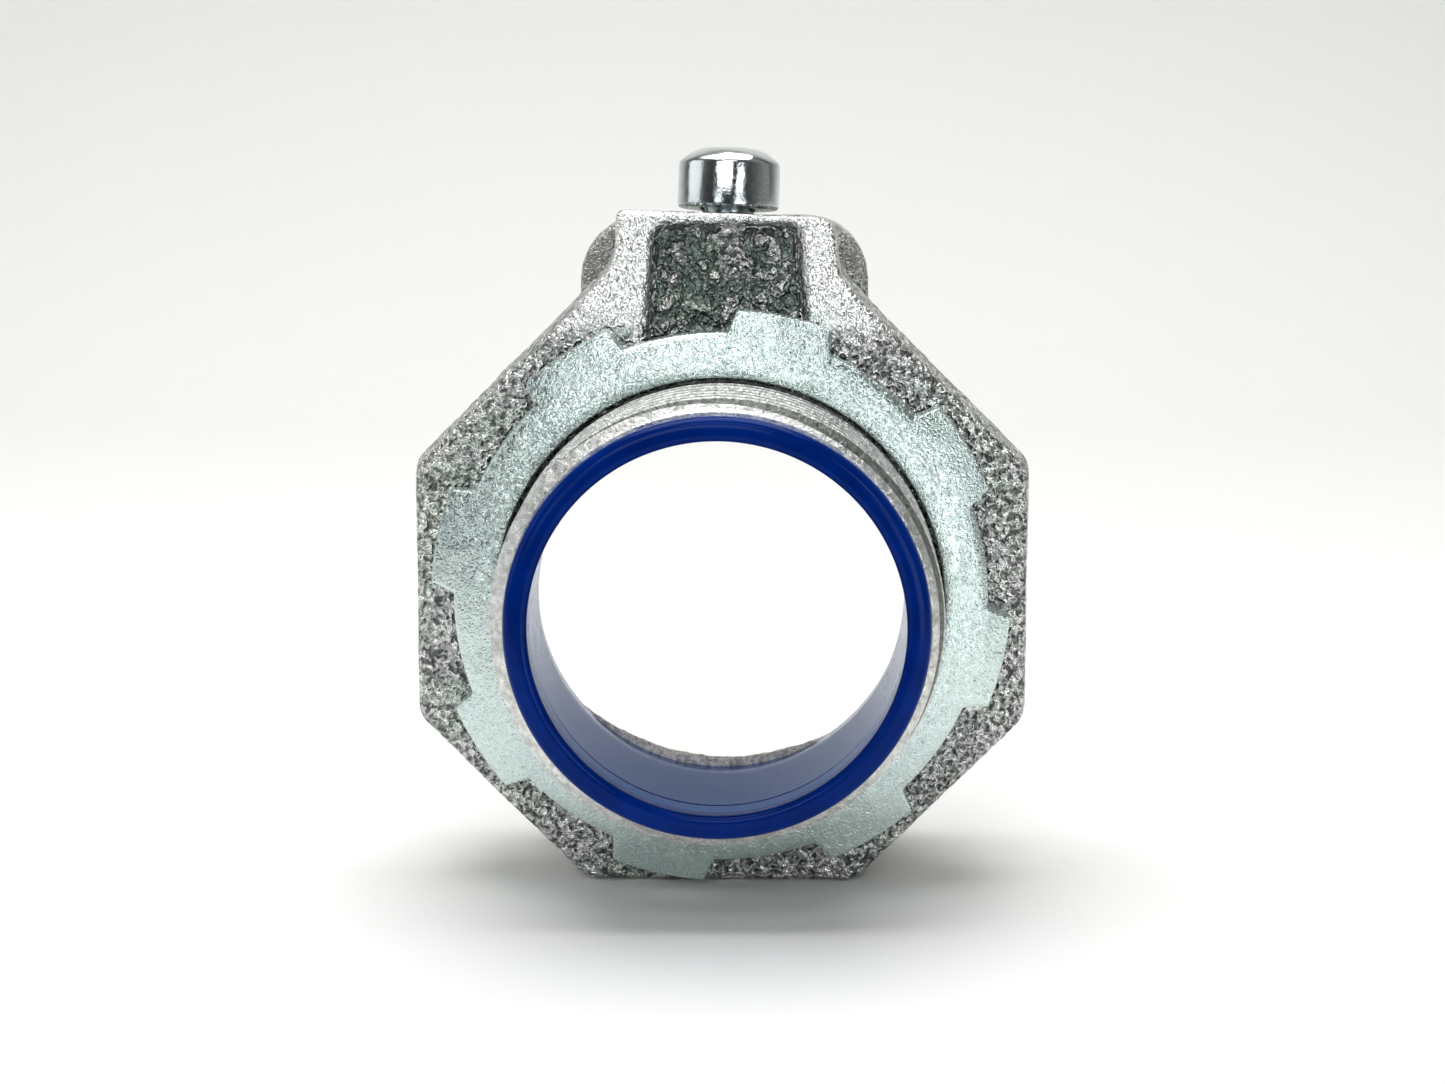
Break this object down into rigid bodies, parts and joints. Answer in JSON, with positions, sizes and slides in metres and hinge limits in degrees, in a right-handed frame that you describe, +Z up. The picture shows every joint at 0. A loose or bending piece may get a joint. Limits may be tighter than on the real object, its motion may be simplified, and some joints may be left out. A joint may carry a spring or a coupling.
{
  "type": "conduit connector",
  "caption": "Saddle-type flexible conduit connector with an octagonal cast collar, threaded hub, insulated throat, lugged locknut and a screw that clamps the saddle.",
  "frame": {"origin": "centre of the bounding box in X and Y, at the height of the collar's lower flat", "axes": "+Z up towards the screw head, which makes it the longest extent; the hub axis runs along Y and the threaded hub points to -Y; +X to the right seen from the hub's side"},
  "size_m": [0.0606, 0.0414, 0.0721],
  "materials": {
    "body_casting": "rough, zinc plated",
    "throat_insulator": "glossy moulded",
    "locknut": "zinc plated, satin",
    "saddle": "zinc plated",
    "clamp_screw": "bright zinc plated"
  },
  "bodies": {
    "body": {"body_casting": "body_casting", "throat_insulator": "throat_insulator"},
    "nut": {"locknut": "locknut"},
    "clamp": {"saddle": "saddle"},
    "screw": {"clamp_screw": "clamp_screw"}
  },
  "joints": [
    {"name": "locknut_slide", "type": "slide", "parent": "body", "child": "nut", "axis": [0, -1, 0], "range_m": [0, 0.0205]},
    {"name": "saddle_lift", "type": "slide", "parent": "body", "child": "clamp", "axis": [0.0294, 0.1305, 0.991], "range_m": [0, 0.0048]},
    {"name": "screw_turn", "type": "hinge", "parent": "clamp", "child": "screw", "pos_m": [0.0005, 0.00885, 0.06598], "axis": [0.0294, 0.1305, 0.991], "range_deg": [0, 1361]}
  ],
  "couplings": [
    {"joint": "screw_turn", "follows": "saddle_lift", "rad_per_m": 4947.4}
  ]
}
